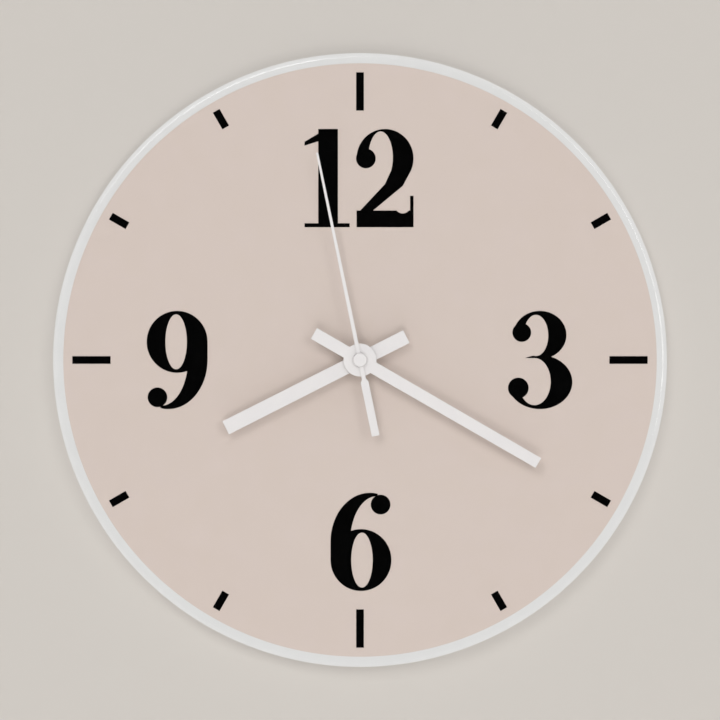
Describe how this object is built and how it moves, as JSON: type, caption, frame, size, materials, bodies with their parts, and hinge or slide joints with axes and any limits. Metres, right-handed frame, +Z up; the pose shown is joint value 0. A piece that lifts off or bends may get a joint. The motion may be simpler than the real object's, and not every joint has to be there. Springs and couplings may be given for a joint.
{
  "type": "glass wall clock",
  "caption": "Round glass wall clock printed on the back of the dial, with white hands, a geared quartz movement, a battery and a keyhole hanger.",
  "frame": {"origin": "on the arbor axis, in the plane of the wall, at the rear face of the movement", "axes": "+Z up to twelve o'clock, +X to three o'clock, -Y out of the dial to the viewer"},
  "size_m": [0.3, 0.0333, 0.3],
  "materials": {
    "clear_glass": "clear float glass with a polished round edge",
    "black_ink": "black screen print on the back of the glass",
    "blush_print": "blush screen print on the back of the glass",
    "white_film": "white backing film",
    "white_paint": "aluminium sheet with white satin paint",
    "brass": "turned brass",
    "nickel": "bright nickel plating",
    "steel": "zinc plated sheet steel",
    "arbor_steel": "drawn steel wire",
    "iron": "soft iron sheet",
    "magnet": "sintered magnet",
    "rubber": "black rubber",
    "black_case": "black moulded plastic with a fine texture",
    "acetal": "natural acetal",
    "green_board": "green circuit board",
    "resin": "black resin",
    "copper": "enamelled copper wire",
    "cell_can": "printed steel can",
    "cell_seal": "nylon seal"
  },
  "bodies": {
    "clock": {"glass_dial": "clear_glass", "dial_marks": "black_ink", "dial_numerals": "black_ink", "dial_print": "blush_print", "backing_film": "white_film", "threaded_bushing": "brass", "dial_nut": "brass", "dial_washer": "brass", "rubber_gasket": "rubber", "hanger": "steel", "keyhole_plate": "steel", "movement_case": "black_case", "rear_cover": "black_case", "train_plate": "acetal", "stator": "iron", "coil_core": "iron", "coil_bobbin": "acetal", "coil_winding": "copper", "circuit_board": "green_board", "controller_chip": "resin", "quartz_crystal": "nickel", "positive_contact": "nickel", "negative_contact": "nickel"},
    "hour_hand": {"hour_hand": "white_paint", "hour_hand_bush": "brass", "hour_wheel": "acetal"},
    "minute_hand": {"minute_hand": "white_paint", "minute_hand_bush": "brass", "cannon_pinion": "acetal", "centre_wheel": "acetal"},
    "seconds_hand": {"seconds_hand": "white_paint", "seconds_hand_cap": "white_paint", "seconds_arbor": "arbor_steel", "seconds_wheel": "acetal"},
    "third_wheel": {"third_wheel": "acetal", "third_arbor": "arbor_steel"},
    "intermediate_wheel": {"intermediate_wheel": "acetal", "intermediate_arbor": "arbor_steel"},
    "rotor": {"rotor_pinion": "acetal", "rotor_magnet": "magnet"},
    "setting_knob": {"minute_wheel": "acetal", "setting_knob": "black_case"},
    "battery": {"battery_can": "cell_can", "battery_base": "nickel", "battery_seal": "cell_seal", "battery_terminal": "nickel"}
  },
  "joints": [
    {"name": "minute_turn", "type": "hinge", "parent": "clock", "child": "minute_hand", "pos_m": [0, 0, 0], "axis": [0, 1, 0], "continuous": true},
    {"name": "hour_turn", "type": "hinge", "parent": "clock", "child": "hour_hand", "pos_m": [0, 0, 0], "axis": [0, 1, 0], "continuous": true},
    {"name": "seconds_turn", "type": "hinge", "parent": "clock", "child": "seconds_hand", "pos_m": [0, 0, 0], "axis": [0, 1, 0], "continuous": true},
    {"name": "third_wheel_turn", "type": "hinge", "parent": "clock", "child": "third_wheel", "pos_m": [-0.0102, 0, 0], "axis": [0, 1, 0], "continuous": true},
    {"name": "intermediate_wheel_turn", "type": "hinge", "parent": "clock", "child": "intermediate_wheel", "pos_m": [0, 0, 0.01015], "axis": [0, 1, 0], "continuous": true},
    {"name": "rotor_turn", "type": "hinge", "parent": "clock", "child": "rotor", "pos_m": [-0.00822, 0, 0.01314], "axis": [0, 1, 0], "continuous": true},
    {"name": "setting_knob_turn", "type": "hinge", "parent": "clock", "child": "setting_knob", "pos_m": [0.012, 0, 0], "axis": [0, 1, 0], "continuous": true},
    {"name": "battery_slide", "type": "slide", "parent": "clock", "child": "battery", "axis": [0, 1, 0], "range_m": [0, 0.03]}
  ],
  "couplings": [
    {"joint": "hour_turn", "follows": "minute_turn", "ratio": 0.083333},
    {"joint": "seconds_turn", "follows": "minute_turn", "ratio": 60},
    {"joint": "third_wheel_turn", "follows": "minute_turn", "ratio": -7.5},
    {"joint": "intermediate_wheel_turn", "follows": "minute_turn", "ratio": -300},
    {"joint": "rotor_turn", "follows": "minute_turn", "ratio": 1800},
    {"joint": "setting_knob_turn", "follows": "minute_turn", "ratio": -0.33333}
  ]
}
